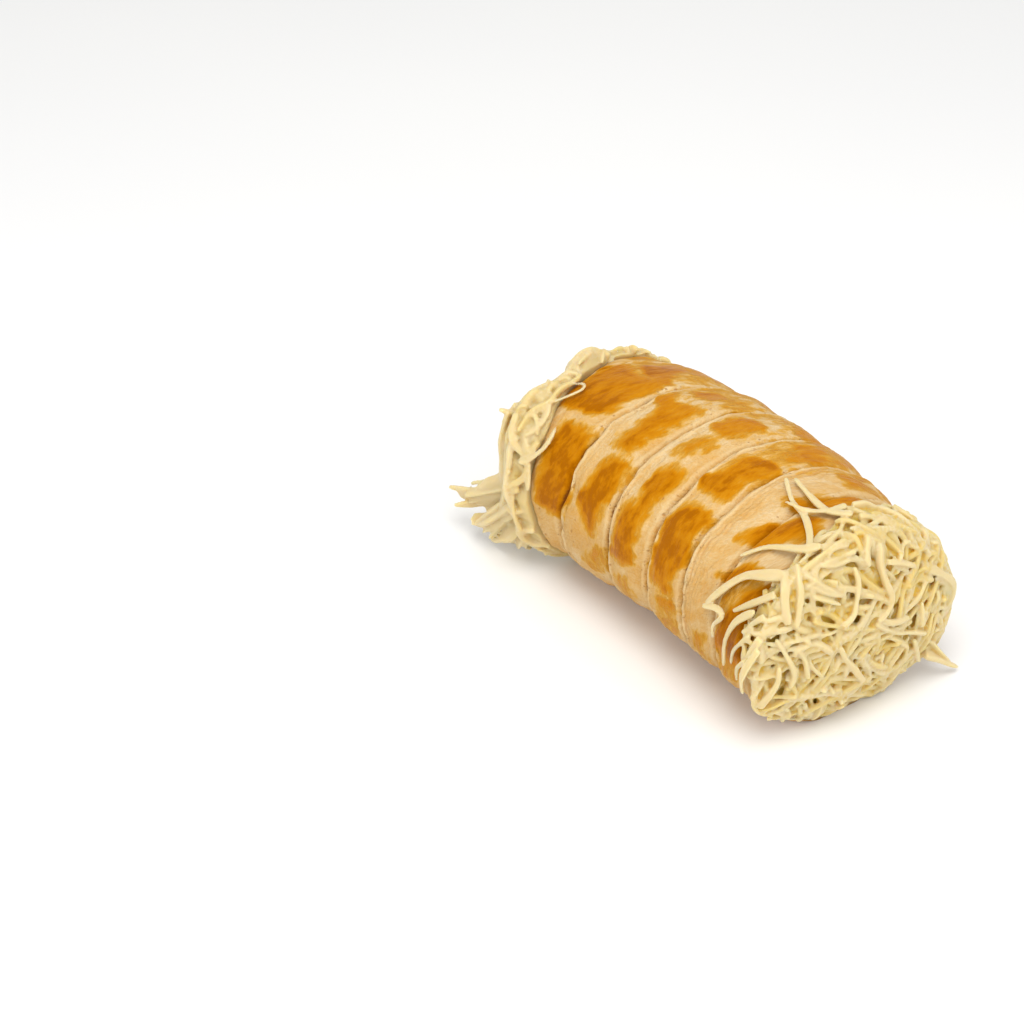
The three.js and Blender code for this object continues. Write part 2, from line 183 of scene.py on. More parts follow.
# Shreds that show on the near face: radius, then the way over the face as (towards -Y, up).
SHOWN = [
    (0.95, (16, 26.5), (15, 20), (15.5, 16), (16.5, 12)),
    (1, (19, 26), (18.5, 20), (18, 13)),
    (0.7, (-2.5, 26), (-1, 22.5), (-1, 20)),
    (0.85, (-4.5, 23), (-4, 19.5), (-5, 15), (-6.5, 10.5), (-5.5, 7.5), (-3, 6)),
    (0.75, (2.5, 21), (2, 17.5), (2.5, 14.5), (3.5, 10.5), (6, 8.5)),
    (0.6, (13.5, 22.5), (10.5, 19.5), (7, 17)),
    (0.6, (12.5, 19.5), (9.5, 17.5), (6, 16)),
    (0.55, (12.5, 17.5), (9.5, 16), (6.5, 14)),
    (0.6, (10, 23.5), (7, 22.5), (3.5, 22.5)),
    (0.65, (-6, 19), (-10, 17), (-13.5, 14.5)),
    (0.6, (-2.5, 5.5), (-7.5, 0.5), (-12, -2), (-16.5, -5)),
    (0.7, (-3.5, 6.5), (-7, 3.5), (-11, 2.5)),
    (0.75, (6.5, 3.5), (4, -2.5), (-1, -11.5)),
    (0.7, (20.5, 10), (19, 6.5), (17, 1), (18, -3.5)),
    (0.6, (16.5, 7), (14.5, 3), (14, -2)),
    (0.75, (20, 3), (20.5, -1.5), (23.5, -9.5)),
    (0.6, (14.5, 8.5), (14, 7), (16.5, 6.5), (17, 5)),
    (0.8, (22, 12.5), (24, 10), (23.5, 5)),
    (0.65, (-13, -4.5), (-16, -11.5), (-19, -16)),
    (0.7, (-15, 4), (-15, -2)),
]

# Shreds that hang free: radius, then the way as places (x, y, z).
LOOSE = [
    (1.4, (-46, -24, 20), (-52, -27.5, 15), (-60, -29.5, 12), (-66, -32, 11)),
    (1.1, (-45, -20, 14), (-52, -25, 12), (-58, -29, 9.5), (-62, -33.5, 8.5)),
    (1, (-46, -29, 24), (-47.5, -30, 14), (-52, -30, 8.5), (-56, -31, 5)),
    (1, (-44, -27, 16), (-45.5, -28, 9), (-49, -28.5, 4), (-53, -28.5, 1.4)),
    (0.8, (-40, -26, 12), (-42, -27, 6), (-44.5, -24.5, 2.5), (-46, -22.5, 1.1)),
    (0.9, (-46, -29, 41), (-47.5, -30, 33), (-48, -29.5, 24), (-51, -28.5, 17), (-61, -31, 12.5)),
    (1.1, (-46.5, -26, 42), (-48, -28, 34), (-49, -27, 25), (-50.5, -27, 15), (-55, -29, 9)),
    (0.9, (-44.5, -27, 38), (-46, -29.5, 30), (-46.5, -29.5, 21), (-48.5, -29, 12), (-52, -29.5, 5)),
    (1, (-43.5, -26, 30), (-45, -28.5, 22), (-45.5, -28.5, 13), (-46.5, -27, 5), (-49, -26, 2)),
    (0.8, (-46, -25, 36), (-48, -26, 27), (-50, -27, 19), (-54, -29, 13.5), (-59, -31, 10)),
    (0.8, (-47, -28, 20), (-53, -30.5, 16), (-59, -32.3, 12.5)),
    (0.8, (-46.5, -29, 17), (-51, -31, 11.5), (-55, -32, 7)),
    (0.8, (-45, -28.5, 13), (-48.5, -30, 8), (-51.5, -30.5, 3.5)),
    (1, (-46.5, -28.5, 13), (-50, -30.3, 8), (-53.5, -31, 4.6)),
    (0.7, (-48, -28.5, 21), (-53, -28.5, 18.5), (-60, -30, 14.5)),
    (0.8, (-44, -18, 46), (-46.5, -23, 43), (-46.5, -28.5, 36), (-45, -30.5, 26)),
    (1, (-46, -22, 36), (-46.5, -27, 39.5), (-47, -30.6, 41.6)),
    (0.9, (-45, -13, 44), (-46, -10, 48), (-46.3, -6, 49.4), (-46, -2.5, 47.6), (-45, -1, 45)),
    (0.9, (45, 14, 33), (46, 19, 29.5), (46, 23, 25.5), (46, 23.8, 21.5), (45.5, 21.5, 16)),
    (0.8, (44.5, 17, 30.5), (44, 21.5, 28), (44, 24, 24), (45, 23, 19), (45.5, 22, 12)),
    (1.1, (46, 17, 9), (46.3, 21, 6), (46.6, 24, 3.5), (46.8, 27, 1.3)),
]

# Where shreds have melted together: half the width, which way that lies, then the way as (x, y, z).
MELTED = [
    (2.9, (0, 0, 1), (-44.5, -13, 43), (-46, -9.5, 45.8), (-46.3, -5.5, 46.2), (-45.5, -2, 44)),
    (1.3, (0, 1, 0), (46, 18, 29.5), (46, 21.8, 26), (46, 22.8, 22), (45.5, 21.5, 18)),
    (1.5, (1, 0, 1), (44.5, 18, 11), (46, 21.5, 7), (46.3, 25, 3.2)),
    (4.6, (0.4, 0, 1), (-45, -26, 22), (-50, -27.5, 16), (-56, -29.5, 12.5), (-63, -31.5, 11)),
    (3.8, (1, 0, 1), (-45, -26, 17), (-49, -28.5, 12), (-53, -30, 8), (-57, -31, 5.5)),
    (3, (1, 0, 0.8), (-45, -26.5, 16), (-50, -28.5, 10), (-55, -30, 6.8), (-58, -31, 6.5)),
    (3.4, (1, 0, 0.6), (-44, -26, 13), (-47, -28, 8), (-50.5, -28.5, 4.4), (-53.5, -28.5, 2.4)),
    (2, (1, 0, 0.2), (-42, -26, 12), (-44, -27.5, 7), (-46, -26.5, 3.4), (-48, -25, 1.6)),
]

# The heaps. "over", "edge" and "skirt" are lists of (degrees, millimetres) round the rim: how deep
# the cheese lies over the crust, how far it stands out of the rim, and how far back it reaches.
NEAR_HEAP = {
    "end": 1, "dome": 6.5, "bed": 5.0, "count": 560, "in_hollows": 420, "seed": 5,
    "radius": (0.45, 0.6, 0.9), "muddle": 0.6, "tints": (0.0, 0.5), "core_shade": 0.6,
    "hollow_shade": 1.4, "cell": 0.27, "softening": 1, "shown": SHOWN,
    "over": [(-175, -2.5), (-145, 0.5), (-112, 3.4), (-75, 2.4), (-40, 0.9), (0, 0.9), (45, 2),
             (80, 1.7), (110, 0), (145, -2)],
    "edge": [(-175, 0), (-110, 2.5), (-60, 1.2), (0, 1.2), (60, 2), (100, 1.2), (145, 0)],
    "skirt": [(-150, 0), (-110, 2), (-70, 5), (-33, 7.5), (-10, 7.5), (18, 4), (45, 3.5), (67, 4),
              (90, 0), (120, -2)],
}
FAR_HEAP = {
    "end": -1, "dome": 8, "bed": 5.4, "count": 360, "in_hollows": 160, "seed": 17,
    "radius": (0.45, 0.65, 1.05), "muddle": 0.4, "tints": (0.0, 0.35), "core_shade": 0.3,
    "hollow_shade": 0.5, "cell": 0.33, "softening": 2, "shown": [],
    "over": [(-165, -1), (-100, 0), (-40, 0), (-12, 0.6), (8, 3.2), (22, 1.8), (38, 3), (55, 4.4),
             (75, 2.2), (110, 1.6), (140, 0.8), (165, 0)],
    "edge": [(-165, 0.5), (-60, 0.8), (0, 1.6), (26, 2.2), (45, 4.8), (58, 5.5), (90, 4.6), (115, 4),
             (140, 2.5), (165, 1)],
    "skirt": [(-150, 0), (-60, 0), (-15, 0.3), (10, 0.6), (30, 0.6), (52, 2.2), (68, 0.6), (90, 0),
              (140, 0)],
}

# ---- colours, as they look on a screen ----
DOUGH_PALE, DOUGH, DOUGH_BAKED = (215, 190, 147), (207, 170, 112), (201, 152, 80)
DOUGH_RIDGE = (220, 194, 146)
GOLD, DEEP_GOLD, AMBER = (206, 162, 86), (199, 145, 51), (189, 125, 16)
DEEP_AMBER, DARK_AMBER = (177, 109, 4), (156, 90, 1)
LAYER_SHADE, PIT_SHADE, SEAM_SHADE = (196, 146, 88), (176, 118, 58), (128, 74, 28)
TRAY_PALE, TRAY_BROWN = (214, 168, 104), (188, 130, 66)
DRY_SHEEN, WASHED_SHEEN = (255, 235, 205), (255, 190, 70)
# The deepest cheese colour is both a deeper tone and the painted shade of hollows and of cheese lying
# deep in a heap.
CHEESE_PALE, CHEESE, CHEESE_DEEP_AND_SHADE = (208, 190, 147), (203, 181, 123), (213, 178, 72)
FLOOR_DARK, FLOOR_LIGHT = (238, 238, 238), (241, 241, 240)


# ---- small helpers ----
def smoothstep(value, low, high):
    share = np.clip((value - low) / (high - low), 0, 1)
    return share * share * (3 - 2 * share)


def lerp(a, b, share):
    return a + (b - a) * share


def bell(value, middle, width):
    """A smooth bump of height 1 at a middle."""
    return np.exp(-(((value - middle) / width) ** 2))


def round_angles(columns):
    return -math.pi + TURN * np.arange(columns) / columns


def linear(red, green, blue):
    """A colour given as it looks on a screen, 0 to 255, as the shader wants it."""
    channels = np.array((red, green, blue)) / 255
    low = channels / 12.92
    high = ((channels + 0.055) / 1.055) ** 2.4
    return (*np.where(channels <= 0.04045, low, high).tolist(), 1.0)


def waves(seed, points, size, count=28):
    """A smooth random field of about -1 to 1 at points, with hollows about size mm apart."""
    random = np.random.default_rng(seed)
    total = np.zeros(len(points))
    for _ in range(count):
        way = random.normal(size=points.shape[1])
        way /= np.linalg.norm(way)
        length = size * random.uniform(0.7, 1.6)
        total += np.sin(points @ way * (TURN / length) + random.uniform(0, TURN))
    return total / math.sqrt(count)


# ---- the smooth body ----
def half_width(x):
    u = x / SHAPE_SPAN
    return ROLL_WIDTH / 2 * (1 - TAPER * u - BARREL * u**2 - BARREL / 2 * u**4)


def half_height(x):
    return half_width(x) * HEIGHT_SHARE


def centre_y(x):
    return -BOW * (x / SHAPE_SPAN) ** 2


def centre_z(x):
    return half_height(x) - BASE_CUT


def body_points(x, angle, out=0.0):
    """Places at a distance out of the smooth body, or in it where that is negative."""
    x, angle = np.broadcast_arrays(np.asarray(x, float), angle)
    y = centre_y(x) - (half_width(x) + out) * np.sin(angle)
    z = centre_z(x) + (half_height(x) + out) * np.cos(angle)
    return np.stack([x, y, z], -1)


def rim_at(end, angle):
    if end > 0:
        return NEAR_RIM + 0 * angle
    return FAR_RIM - FAR_RIM_RUNOUT * np.cos(angle - FAR_RIM_LONGEST)


def pitch_at(x):
    """How far it is along the roll from seam to seam."""
    return 1 / (TURNS_PER_MM + 2 * TIGHTENING * x)


def turns_at(x, angle):
    """Turns of the strip counted at a place: the seams are the whole numbers."""
    shifted = x - SEAM_SAG * bell(angle, SAG_ANGLE, SAG_SPREAD)
    return TURN_AT_MIDDLE + TURNS_PER_MM * shifted + TIGHTENING * shifted**2 + angle / TURN


# ---- meshes ----
def in_scene(name, data):
    made = bpy.data.objects.new(name, data)
    bpy.context.scene.collection.objects.link(made)
    return made


def mesh_object(name, points, faces, material):
    """A smooth mesh from places in millimetres and groups of faces."""
    mesh = bpy.data.meshes.new(name)
    corners = [face for group in faces for face in group.tolist()]
    mesh.from_pydata((points * MM).tolist(), [], corners)
    mesh.validate()
    mesh.shade_smooth()
    mesh.materials.append(material)
    return in_scene(name, mesh)


def mesh_numbers(items, name, width, kind=np.float32):
    """What each point or edge of a mesh holds under a name."""
    numbers = np.empty(width * len(items), kind)
    items.foreach_get(name, numbers)
    return numbers.reshape(-1, width)


def hollowness(mesh, rounds):
    """How many millimetres each point of a mesh lies under its smoothed surface."""
    places = mesh_numbers(mesh.vertices, "co", 3) / MM
    normals = mesh_numbers(mesh.vertices, "normal", 3)
    a, b = mesh_numbers(mesh.edges, "vertices", 2, np.int32).T
    point, neighbour = np.concatenate([a, b]), np.concatenate([b, a])
    neighbours = np.maximum(np.bincount(point, minlength=len(places)), 1)[:, None]
    smoothed = places
    for _ in range(rounds):
        sums = [np.bincount(point, smoothed[neighbour, axis], len(places)) for axis in range(3)]
        smoothed = np.stack(sums, -1) / neighbours
    return np.sum((smoothed - places) * normals, axis=1)


def drop_crumbs(mesh):
    """Deletes the specks that fusing leaves: parts of a mesh with very few points."""
    a, b = mesh_numbers(mesh.edges, "vertices", 2, np.int32).T
    part, before = np.arange(len(mesh.vertices)), None
    while not np.array_equal(part, before):
        before = part.copy()
        for ends in (before[a], before[b]):
            np.minimum.at(part, ends, np.minimum(before[a], before[b]))
        part = part[part]
    crumbs = np.bincount(part, minlength=len(part))[part] < CRUMB_POINTS
    body = bmesh.new()
    body.from_mesh(mesh)
    body.verts.ensure_lookup_table()
    bmesh.ops.delete(body, geom=[body.verts[i] for i in np.flatnonzero(crumbs)], context="VERTS")
    body.to_mesh(mesh)
    body.free()


def point_values(made, name, values):
    """Stores a number or a place at each point of a mesh, for its material to read."""
    kind = "FLOAT" if values.ndim == 1 else "FLOAT_VECTOR"
    field = "value" if values.ndim == 1 else "vector"
    attribute = made.data.attributes.new(name, kind, "POINT")
    attribute.data.foreach_set(field, values.astype(np.float32).ravel())


def ring_faces(rows, columns):
    """Quads between rings, which run clockwise seen along the rows."""
    row, column = np.meshgrid(np.arange(rows - 1), np.arange(columns), indexing="ij")
    a, b = row * columns + column, row * columns + (column + 1) % columns
    return np.stack([a, b, b + columns, a + columns], -1).reshape(-1, 4)


def evaluated_mesh(made):
    """A copy of a piece's mesh with its modifiers carried out."""
    graph = bpy.context.evaluated_depsgraph_get()
    return bpy.data.meshes.new_from_object(made.evaluated_get(graph))


# ---- the crust ----
def egg_wash(x, angle, turns, patches):
    """Millimetres in from the nearest patch's edge, negative outside, and how low in its turn a
    place lies in that patch, 1 to 0."""
    degrees = np.degrees(angle)
    pitch = pitch_at(x)
    per_degree = half_width(x) * TURN / 360
    deep = np.full(len(x), -9.0)
    lowness = np.full(len(x), 0.5)
    for turn, (start, low_start, high_start), (stop, low_stop, high_stop) in patches:
        share = np.clip((degrees - start) / (stop - start), 0, 1)
        low, high = lerp(low_start, low_stop, share), lerp(high_start, high_stop, share)
        across = np.minimum(turns - turn - low, turn + high - turns) * pitch
        along = np.minimum(degrees - start, stop - degrees) * per_degree
        corner = np.minimum(PATCH_ROUND, (high - low) * pitch / 2)
        inside = corner - np.hypot(np.maximum(corner - along, 0), np.maximum(corner - across, 0))
        better = inside > deep
        deep = np.where(better, inside, deep)
        lowness = np.where(better, np.clip((turn + high - turns) / (high - low), 0, 1), lowness)
    return deep, lowness


def unseen_patches():
    """Patches for the side turned away from the photograph, by a rule of the same kind."""
    random = np.random.default_rng(3)
    patches = []
    for turn in range(-1, 6):
        angle = -52 + random.uniform(-6, 6)
        while angle > -118:
            length = random.uniform(30, 46)
            low = random.uniform(0.2, 0.34)
            slant = random.uniform(-0.12, 0.12)
            width = random.uniform(0.4, 0.58)
            patches.append((turn, (angle - length, low, low + width),
                            (angle, low + slant, low + slant + width)))
            angle -= length + random.uniform(4, 9)
    return patches


def crust_grid(rows, columns):
    """Rows from rim to rim, and angles that lie closer together on top than underneath."""
    even = round_angles(columns)
    angles = even - 0.22 * np.sin(even)
    share = np.linspace(0, 1, rows)[:, None]
    x = lerp(rim_at(-1, angles), rim_at(1, angles), share)
    return x.ravel(), np.tile(angles, rows)


def crust_fields(x, angle):
    """The relief and the looks of the outer skin at each place."""
    smooth = body_points(x, angle)
    wander = 0.03 * waves(21, smooth, 19) + 0.012 * waves(22, smooth, 7)
    wander += 0.006 * waves(23, smooth, 3)
    turns = turns_at(x, angle) + wander
    turn = np.floor(turns)
    share = turns - turn
    pitch = pitch_at(x)
    run = (angle - TURN * turn) * half_width(x)
    strip = np.stack([run, share * pitch, 37.0 * turn], -1)
    after, before = share * pitch, (1 - share) * pitch
    to_seam = np.minimum(after, before)

    ragged = 0.6 * waves(31, strip, 9) + 0.3 * waves(32, strip, 3.6) + 0.14 * waves(33, strip, 1.7)
    deep, lowness = egg_wash(x, angle, turns_at(x, angle) + 0.5 * wander, WASHED + unseen_patches())
    under = smoothstep(-np.cos(angle), 0.5, 0.85)
    fade = np.clip(3.3 + 1.4 * waves(34, strip, 12), 1.8, 5.6)
    washed = np.clip((deep + ragged + 1.9) / fade, 0, 1)
    washed *= 1 - 0.38 * smoothstep(-angle, 0.05, 0.6) - 0.5 * smoothstep(angle, 1.5, 1.8)
    uneven = np.clip(1 + 0.5 * waves(35, strip, 12), 0.3, 1.6)
    thin_wash = THIN_WASH * smoothstep(-angle, -0.35, 0.35) * uneven
    washed = np.maximum(washed, np.where(turns < 3.3, thin_wash, 0)) * (1 - under)
    bare = 1 - washed
    ridge = bell(after, 1.1, 0.8) + 0.7 * bell(before, 1.3, 0.8)

    low_side = smoothstep(angle, 0.55, 1.25)
    opening = np.clip(0.6 + 0.35 * low_side + 0.6 * waves(41, strip * (1, 0.1, 1), 9), 0.05, 1.3)
    crack = opening * bell(to_seam, 0, 0.4)
    second_edge = np.clip(waves(42, strip * (1, 0.1, 1), 8), 0, 1) * (0.4 + 0.6 * low_side)
    second_edge *= bell(after, 1.7 + 0.4 * waves(43, strip, 7), 0.28)
    layered_width = np.where(turn == 3, 7.5, 2.6)
    layered = np.clip(0.75 + 0.5 * waves(53, strip * (0.25, 1, 1), 4), 0, 1.3)
    layered *= np.exp(-after / layered_width)
    layer_wave = np.sin(TURN * after / 1.1 + 1.6 * waves(51, strip, 11) + 0.9 * waves(52, strip, 3.4))

    relief = -EDGE_FALL * np.abs(2 * share - 1) ** 3
    relief -= OVERLAP_STEP * share
    relief += RIDGE_HEIGHT * ridge
    relief -= CRACK_DEPTH * crack + SECOND_EDGE_DEPTH * second_edge
    relief += LAYER_DEPTH * layered * layer_wave * (1 - 0.8 * washed)
    relief += WASH_DEPTH * washed - SKIN_DROP
    relief += 0.2 * waves(71, strip * (0.5, 1, 1), 6.5) + 0.22 * waves(72, smooth, 16)
    relief += 0.08 * waves(73, strip * (0.35, 1, 1), 1.9) * (0.3 + bare)
    to_rim = np.minimum(NEAR_RIM - x, x - rim_at(-1, angle))
    relief -= RIM_FALL * np.clip(1 - to_rim / RIM_ROUND, 0, 1) ** 2
    relief *= 1 - UNDERSIDE_PRESS * smoothstep(-np.cos(angle), 0.8, 0.97)
    relief = np.minimum(relief, HIGHEST_RELIEF)
    looks = {
        "washed": washed, "lowness": lowness, "ridge": ridge, "under": under, "strip": strip,
        "seam": opening * bell(to_seam, 0, 0.7) + 0.75 * second_edge,
        "layers": layered * np.clip(0.5 - 0.5 * layer_wave, 0, 1),
        # The bake also grows towards the lower side, angles 0.5 to 1.3: partly deeper baking, partly
        # painted shade.
        "bake_and_shade": 0.35 + 0.3 * waves(81, strip * (0.6, 1, 1), 10) + 0.5 * smoothstep(angle, 0.5, 1.3),
    }
    return relief, looks


def make_crust(material):
    """One closed skin: the outer side, both rims and the smooth bore."""
    x, angle = crust_grid(CRUST_ROWS, CRUST_COLUMNS)
    relief, looks = crust_fields(x, angle)
    outer = body_points(x, angle, relief)
    outer[:, 2] = np.maximum(outer[:, 2], 0)
    angles = angle[:CRUST_COLUMNS]
    near_rim, far_rim = rim_at(1, angles), rim_at(-1, angles)
    rings = [outer]
    rings += [body_points(near_rim, angles, -WALL * inset) for inset in RIM_INSETS]
    for share in np.linspace(0, 1, 6)[1:-1]:
        rings.append(body_points(lerp(near_rim, far_rim, share), angles, -WALL))
    rings += [body_points(far_rim, angles, -WALL * inset) for inset in RIM_INSETS[::-1]]
    points = np.concatenate(rings)
    # The last row of faces closes the skin, as it runs on to the first ring.
    faces = ring_faces(len(points) // CRUST_COLUMNS + 1, CRUST_COLUMNS) % len(points)
    made = mesh_object("pastry_crust", points, [faces], material)
    inner = points[len(outer):]
    for name, values in looks.items():
        filler = inner if name == "strip" else np.zeros(len(inner))
        point_values(made, name, np.concatenate([values, filler]))
    return made


# ---- the heaps of cheese ----
def round_list(pairs, angle):
    """The value at an angle of a short list of (degrees, value), taken round the circle."""
    degrees = (np.degrees(angle) + 180) % 360 - 180
    stops = np.array([pairs[-1][0] - 360, *(d for d, _ in pairs), pairs[0][0] + 360])
    values = np.array([pairs[-1][1], *(v for _, v in pairs), pairs[0][1]])
    place = np.clip(np.searchsorted(stops, degrees, side="right") - 1, 0, len(stops) - 2)
    share = smoothstep(degrees, stops[place], stops[place + 1])
    return lerp(values[place], values[place + 1], share)


def softly(share):
    return RIM_SOFTNESS * np.log1p(np.exp(np.clip(share / RIM_SOFTNESS, -60, 60)))


def heap_bed(heap, angle, distance):
    """A heap's bed at a distance over it, from the middle of the face round the rim and back along
    the crust: the distance as a share of the face, how far behind the rim the place is, how much it
    belongs to the face, how far the heap stands out, and its depth on the face and on the crust."""
    share = distance / FACE_RADIUS
    back = FACE_RADIUS * softly(share - RIM_CORNER)
    on_face = 1 - smoothstep(share, 0.75, 1.15)
    edge = round_list(heap["edge"], angle)
    proud = lerp(heap["dome"], edge, np.minimum(share, 1) ** 2.2)
    deep = np.minimum(heap["bed"], proud - GAP)
    to_hem = np.minimum(back / np.maximum(edge + round_list(heap["skirt"], angle), 1), 1)
    cover = round_list(heap["over"], angle) * (1 - HEM_THINNING * to_hem**2)
    return share, back, on_face, proud, deep, cover


def heap_points(heap, angle, distance, height):
    """Places at a height over a heap's bed."""
    end = heap["end"]
    share, back, on_face, proud, deep, cover = heap_bed(heap, angle, distance)
    spread = share - softly(share - 1)
    rim = rim_at(end, angle)
    out = proud + (height - deep) * on_face - back
    x = lerp(end * NEAR_RIM, rim, smoothstep(share, 0.2, 1)) + end * out
    over = lerp(np.minimum(cover, 0), cover, on_face) + GAP + height * (1 - on_face)
    inner = end * np.minimum(end * x, end * rim)
    y = centre_y(x) - (half_width(inner) + over) * spread * np.sin(angle)
    z = centre_z(inner) + (half_height(inner) + over) * spread * np.cos(angle)
    return np.stack([x, y, z], -1)


def heap_depth(heap, angle, distance):
    """How deep the cheese may lie on a heap's bed."""
    _, _, on_face, _, deep, cover = heap_bed(heap, angle, distance)
    return lerp(np.maximum(cover, 0), deep, on_face)


def hem_at(heap, angle):
    """The distance over its bed at which a heap ends."""
    return FACE_RADIUS * RIM_CORNER + np.maximum(
        round_list(heap["edge"], angle) + round_list(heap["skirt"], angle), 0)


def packed_height(heap, angle, distance):
    """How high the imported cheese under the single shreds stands."""
    return np.maximum(heap_depth(heap, angle, distance) - LOOSE_DEPTH, -0.3)


def spline(points):
    """Evenly spaced places along a smooth curve through points (Catmull-Rom)."""
    points = np.asarray(points, float)
    ends = [2 * points[0] - points[1], *points, 2 * points[-1] - points[-2]]
    dense = []
    for a, b, c, d in zip(ends, ends[1:], ends[2:], ends[3:]):
        t = np.linspace(0, 1, 12, endpoint=False)[:, None]
        dense.append(0.5 * (2 * b + (c - a) * t + (2 * a - 5 * b + 4 * c - d) * t**2
                            + (3 * b - a - 3 * c + d) * t**3))
    dense = np.concatenate([*dense, points[-1:]])
    lengths = np.concatenate([[0], np.cumsum(np.linalg.norm(np.diff(dense, axis=0), axis=1))])
    even = np.linspace(0, lengths[-1], SHRED_SAMPLES)
    return np.stack([np.interp(even, lengths, dense[:, axis]) for axis in range(3)], -1)


def smooth_rows(values, times=1):
    for _ in range(times):
        inner = 0.25 * values[:-2] + 0.5 * values[1:-1] + 0.25 * values[2:]
        values = np.concatenate([values[:1], inner, values[-1:]])
    return values


class Bunch:
    """A growing bunch of shreds and packed cheese, made one mesh at the end."""

    def __init__(self, heap):
        self.random = np.random.default_rng(heap["seed"])
        self.tint_range = heap["tints"]
        self.hollow_shade = heap["hollow_shade"]
        self.points, self.faces, self.tints, self.count = [], [], [], 0

    def add_shape(self, points, faces, tint):
        self.points.append(points)
        self.faces += [group + self.count for group in faces]
        self.tints.append(np.broadcast_to(tint, len(points)))
        self.count += len(points)

    def add(self, way, radius, flat=None, growth=None, sunk=0.0, side=None, tint=None):
        """A shred along places in millimetres: a rounded ribbon, a little thinner at its tips. Its
        tint deepens with its depth in the heap, as painted shade. It twists by chance, unless its
        wider side's way is given."""
        random = self.random
        samples = len(way)
        tangent = np.gradient(way, axis=0)
        tangent /= np.maximum(np.linalg.norm(tangent, axis=1, keepdims=True), 1e-9)
        chance = np.cross(tangent[0], random.normal(size=3))
        twist_share = 1.0 if side is None else 0.0
        side = chance if side is None else np.array(side, float)
        sides = []
        for step in tangent:
            side = side - step * (side @ step)
            side /= np.linalg.norm(side)
            sides.append(side)
        sides = np.array(sides)
        other = np.cross(tangent, sides)
        flat = random.uniform(0.7, 1.0) if flat is None else flat
        length = np.linalg.norm(np.diff(way, axis=0), axis=1).sum()
        along = np.linspace(0, length, samples)
        tips = np.minimum(along, length - along)
        blunt = random.uniform(0.55, 0.85)
        size = radius * (blunt + (1 - blunt) * np.sqrt(np.clip(tips / (1.4 * radius), 0, 1)))
        size *= 1 + 0.13 * np.sin(along * random.uniform(0.3, 0.8) + random.uniform(0, TURN))
        growth = random.uniform(-0.2, 0.2) if growth is None else growth
        size *= 1 + growth * (2 * along / length - 1)
        twist = twist_share * (random.uniform(-0.06, 0.06) * along + random.uniform(0, TURN))
        rings = []
        for corner in range(SHRED_SIDES):
            turn = TURN * corner / SHRED_SIDES
            # A shape between a round and a rectangle, as a grater cuts it.
            square = 1 / max(abs(math.cos(turn)), abs(math.sin(turn))) ** 0.45
            u, v = math.cos(turn) * square, math.sin(turn) * square * flat
            across = u * np.cos(twist) - v * np.sin(twist)
            up = u * np.sin(twist) + v * np.cos(twist)
            rings.append(way + sides * (across * size)[:, None] + other * (up * size)[:, None])
        rings = np.stack(rings, 1).reshape(-1, 3)
        caps = np.array([[0, 1, 2, 3], [0, 3, 4, 7], [4, 5, 6, 7]])
        last = (samples - 1) * SHRED_SIDES
        faces = [ring_faces(samples, SHRED_SIDES), caps, last + caps[:, ::-1]]
        chance_tint = random.uniform(*self.tint_range)
        # Deeper in the heap, a deeper tint: painted shade.
        tint = (chance_tint if tint is None else tint) + SHADE_PER_DEPTH * np.clip(sunk, 0, 4)
        self.add_shape(rings, faces, np.repeat(np.broadcast_to(tint, samples), SHRED_SIDES))

    def fuse(self, name, cell, softening, material):
        """Melts the bunch together where its parts meet, keeping each place's tint and deepening it
        with painted shade in the hollows.
        """
        points = np.concatenate(self.points)
        points[:, 2] = np.maximum(points[:, 2], 0.25)
        rough = mesh_object(name + "_rough", points, self.faces, material)
        remesh = rough.modifiers.new("fuse", "REMESH")
        remesh.mode = "VOXEL"
        remesh.voxel_size = cell * MM
        soften = rough.modifiers.new("soften", "SMOOTH")
        soften.factor, soften.iterations = 0.5, softening
        made = in_scene(name, evaluated_mesh(rough))
        bpy.data.objects.remove(rough)
        thin = made.modifiers.new("thin", "DECIMATE")
        thin.ratio = min(1, MOST_TRIANGLES / (2 * len(made.data.polygons)))
        made.data = evaluated_mesh(made)
        made.modifiers.clear()
        made.data.name = name
        drop_crumbs(made.data)
        made.data.shade_smooth()
        if not made.data.materials:
            made.data.materials.append(material)
        # A deeper tint in the hollows between the shreds: painted shade.
        hollow = np.clip(hollowness(made.data, HOLLOW_ROUNDS), 0, DEEPEST_HOLLOW)
        point_values(made, "tint", self.nearest_tints(made.data, points) + self.hollow_shade * hollow)
        return made

    def nearest_tints(self, mesh, points):
        tree = KDTree(len(points))
        for index, point in enumerate(points):
            tree.insert(point, index)
        tree.balance()
        places = mesh_numbers(mesh.vertices, "co", 3) / MM
        tints = np.concatenate(self.tints)
        return np.array([tints[tree.find(place)[1]] for place in places])


